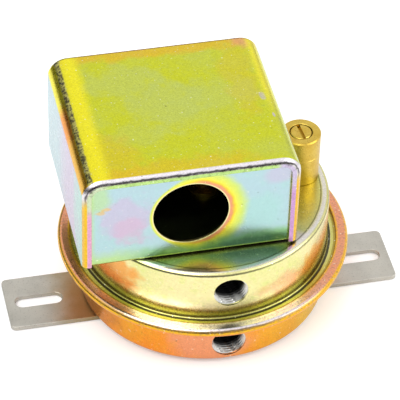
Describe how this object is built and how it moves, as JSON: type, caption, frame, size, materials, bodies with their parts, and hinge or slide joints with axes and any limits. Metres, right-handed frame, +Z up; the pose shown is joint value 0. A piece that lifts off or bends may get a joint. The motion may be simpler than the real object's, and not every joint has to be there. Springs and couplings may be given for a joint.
{
  "type": "air pressure switch",
  "caption": "Differential air pressure switch: crimped round pans with a diaphragm, boxed switch enclosure with conduit hole, brass range adjuster, slotted strap.",
  "frame": {"origin": "on the underside of the mounting strap, on the axis of the two pans", "axes": "+Z up along the pans' axis, the strap along X, both ports and the conduit hole facing -Y"},
  "size_m": [0.12, 0.088, 0.0701],
  "materials": {
    "zinc_upper": "yellow zinc chromate plate over sheet steel",
    "zinc_lower": "orange zinc chromate plate over sheet steel",
    "zinc_cover": "iridescent yellow-green zinc chromate plate",
    "zinc_panel": "iridescent pale zinc chromate plate",
    "strap_steel": "dull plated steel",
    "plain_steel": "bright zinc plated steel",
    "spring_steel": "bright spring wire",
    "brass": "turned brass",
    "rubber": "fabric-backed rubber",
    "plate": "pressed aluminium",
    "case": "moulded phenolic",
    "case_lid": "moulded phenolic",
    "plunger": "natural nylon",
    "button": "red moulded plastic",
    "contact": "spring bronze",
    "liner": "insulating paper",
    "green_screw": "green plated steel"
  },
  "bodies": {
    "housing": {"mounting_strap": "strap_steel", "strap_rivets": "plain_steel", "lower_housing": "zinc_lower", "upper_housing": "zinc_upper", "high_port_boss": "plain_steel", "low_port_boss": "plain_steel", "diaphragm": "rubber", "fulcrum_bracket": "plain_steel", "fulcrum_pin": "plain_steel", "fulcrum_rivets": "plain_steel", "guide_bushing": "brass", "adjuster_barrel": "brass", "barrel_locknut": "brass", "range_spring": "spring_steel", "enclosure_base": "zinc_panel", "front_panel": "zinc_panel", "base_rivets": "plain_steel", "switch_bracket": "plain_steel", "bracket_rivets": "plain_steel", "switch_case": "case", "switch_case_lid": "case_lid", "common_terminal": "contact", "normally_open_terminal": "contact", "normally_closed_terminal": "contact", "terminal_screws": "plain_steel", "switch_screws": "plain_steel", "switch_nuts": "plain_steel", "ground_screw": "green_screw"},
    "diaphragm_centre": {"diaphragm_plate_lower": "plate", "diaphragm_plate_upper": "plate", "diaphragm_stud": "plain_steel", "stud_nut": "plain_steel"},
    "lever": {"range_lever": "plain_steel"},
    "plunger": {"plunger_pin": "plunger"},
    "adjuster": {"adjusting_screw": "brass"},
    "follower": {"spring_follower": "plain_steel"},
    "button": {"switch_button": "button"},
    "blade": {"snap_blade": "contact"},
    "cover": {"switch_cover": "zinc_cover", "cover_liner": "liner"},
    "rear_screw": {"cover_screw": "plain_steel"}
  },
  "joints": [
    {"name": "diaphragm_travel", "type": "slide", "parent": "housing", "child": "diaphragm_centre", "axis": [0, 0, 1], "range_m": [0, 0.001], "stiffness_N_per_m": 400, "springref_m": -0.002, "deforming": ["diaphragm", "range_spring"]},
    {"name": "lever_pivot", "type": "hinge", "parent": "housing", "child": "lever", "pos_m": [-0.028, 0, 0.02705], "axis": [0, -1, 0], "range_deg": [0, 2.1]},
    {"name": "plunger_lift", "type": "slide", "parent": "housing", "child": "plunger", "axis": [0, 0, 1], "range_m": [0, 0.001]},
    {"name": "button_press", "type": "slide", "parent": "housing", "child": "button", "axis": [0, 0, 1], "range_m": [0, 0.001]},
    {"name": "blade_snap", "type": "hinge", "parent": "housing", "child": "blade", "pos_m": [0.005, 0, 0.05115], "axis": [0, 1, 0], "range_deg": [0, 4.1]},
    {"name": "range_adjust", "type": "hinge", "parent": "housing", "child": "adjuster", "pos_m": [0.0293, 0.0013, 0.05], "axis": [0, 0, 1], "range_deg": [-720, 1440]},
    {"name": "follower_travel", "type": "slide", "parent": "housing", "child": "follower", "axis": [0, 0, -1], "range_m": [-0.00159, 0.00319], "deforming": ["range_spring"]},
    {"name": "cover_lift", "type": "slide", "parent": "housing", "child": "cover", "axis": [0, 0, 1], "range_m": [0, 0.04]},
    {"name": "cover_screw_turn", "type": "hinge", "parent": "housing", "child": "rear_screw", "pos_m": [-0.0103, 0.0291, 0.0449], "axis": [0, 1, 0], "range_deg": [0, 1080]}
  ],
  "couplings": [
    {"joint": "lever_pivot", "follows": "diaphragm_travel", "rad_per_m": 35.714},
    {"joint": "plunger_lift", "follows": "diaphragm_travel", "ratio": 1},
    {"joint": "button_press", "follows": "diaphragm_travel", "ratio": 1},
    {"joint": "blade_snap", "follows": "diaphragm_travel", "rad_per_m": 70},
    {"joint": "range_adjust", "follows": "follower_travel", "rad_per_m": 7854}
  ]
}
